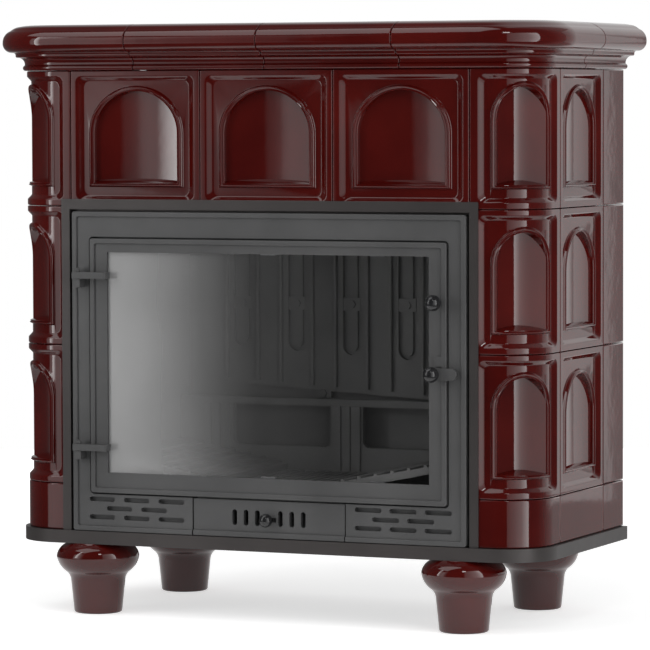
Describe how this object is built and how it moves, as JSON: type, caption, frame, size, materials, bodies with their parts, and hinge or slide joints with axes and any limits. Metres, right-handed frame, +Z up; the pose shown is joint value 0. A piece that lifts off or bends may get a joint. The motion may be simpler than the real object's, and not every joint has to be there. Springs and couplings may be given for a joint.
{
  "type": "tiled stove",
  "caption": "Free-standing wood stove: a cast iron fire insert with a glazed door in a casing of glazed stove tiles with arched niches, under a moulded cornice, on turned feet.",
  "frame": {"origin": "on the floor, under the middle of the outline seen from above", "axes": "+X to the right of someone who faces the stove, the fire door faces -Y, +Z up"},
  "size_m": [0.943, 0.4455, 0.908],
  "materials": {
    "glaze": "deep glossy oxblood glaze",
    "cast_iron": "satin stove paint",
    "dark_steel": "matt dark stove paint",
    "bolt_steel": "plain steel",
    "glass": "clear ceramic glass",
    "gasket": "woven glass fibre rope",
    "knob": "black gloss"
  },
  "bodies": {
    "stove": {"ash_housing": "cast_iron", "baffle_plate": "dark_steel", "base_tray": "dark_steel", "corner_tile_bottom_left": "glaze", "corner_tile_bottom_right": "glaze", "corner_tile_middle_left": "glaze", "corner_tile_middle_right": "glaze", "corner_tile_top_left": "glaze", "corner_tile_top_right": "glaze", "cornice_corner_left": "glaze", "cornice_corner_right": "glaze", "cornice_front_left": "glaze", "cornice_front_right": "glaze", "cornice_side_left": "glaze", "cornice_side_right": "glaze", "firebox": "cast_iron", "flue_collar": "dark_steel", "foot_bolts": "bolt_steel", "foot_front_left": "glaze", "foot_front_right": "glaze", "foot_rear_left": "glaze", "foot_rear_right": "glaze", "front_tile_left": "glaze", "front_tile_middle": "glaze", "front_tile_right": "glaze", "grate": "cast_iron", "hearth_plate_left": "cast_iron", "hearth_plate_right": "cast_iron", "hinge_pins": "bolt_steel", "insert_front": "cast_iron", "lower_back_plate": "cast_iron", "plinth_corner_left": "glaze", "plinth_corner_right": "glaze", "plinth_side_left": "glaze", "plinth_side_right": "glaze", "rear_panel": "dark_steel", "rear_strips_left": "glaze", "rear_strips_right": "glaze", "ribbed_back_plate": "cast_iron", "side_tile_bottom_left": "glaze", "side_tile_bottom_right": "glaze", "side_tile_middle_left": "glaze", "side_tile_middle_right": "glaze", "side_tile_top_left": "glaze", "side_tile_top_right": "glaze", "surround_trim": "dark_steel", "top_plate": "dark_steel"},
    "fire_door": {"door_frame": "cast_iron", "door_glass": "glass", "door_gasket": "gasket", "glass_clips": "bolt_steel", "hinge_arms": "cast_iron", "door_knob": "knob"},
    "door_latch": {"latch_lever": "cast_iron", "latch_shaft": "bolt_steel", "latch_ball": "knob"},
    "ash_drawer": {"ash_drawer_front": "cast_iron", "ash_pan": "cast_iron"},
    "air_slider": {"air_slide": "cast_iron", "air_knob": "knob"}
  },
  "joints": [
    {"name": "fire_door_hinge", "type": "hinge", "parent": "stove", "child": "fire_door", "pos_m": [-0.311, -0.19975, 0.39], "axis": [0, 0, -1], "range_deg": [0, 110]},
    {"name": "door_latch_turn", "type": "hinge", "parent": "fire_door", "child": "door_latch", "pos_m": [0.279, -0.20025, 0.3865], "axis": [0, -1, 0], "range_deg": [0, 90]},
    {"name": "ash_drawer_slide", "type": "slide", "parent": "stove", "child": "ash_drawer", "axis": [0, -1, 0], "range_m": [0, 0.22]},
    {"name": "air_slider_slide", "type": "slide", "parent": "ash_drawer", "child": "air_slider", "axis": [1, 0, 0], "range_m": [0, 0.0085]}
  ]
}
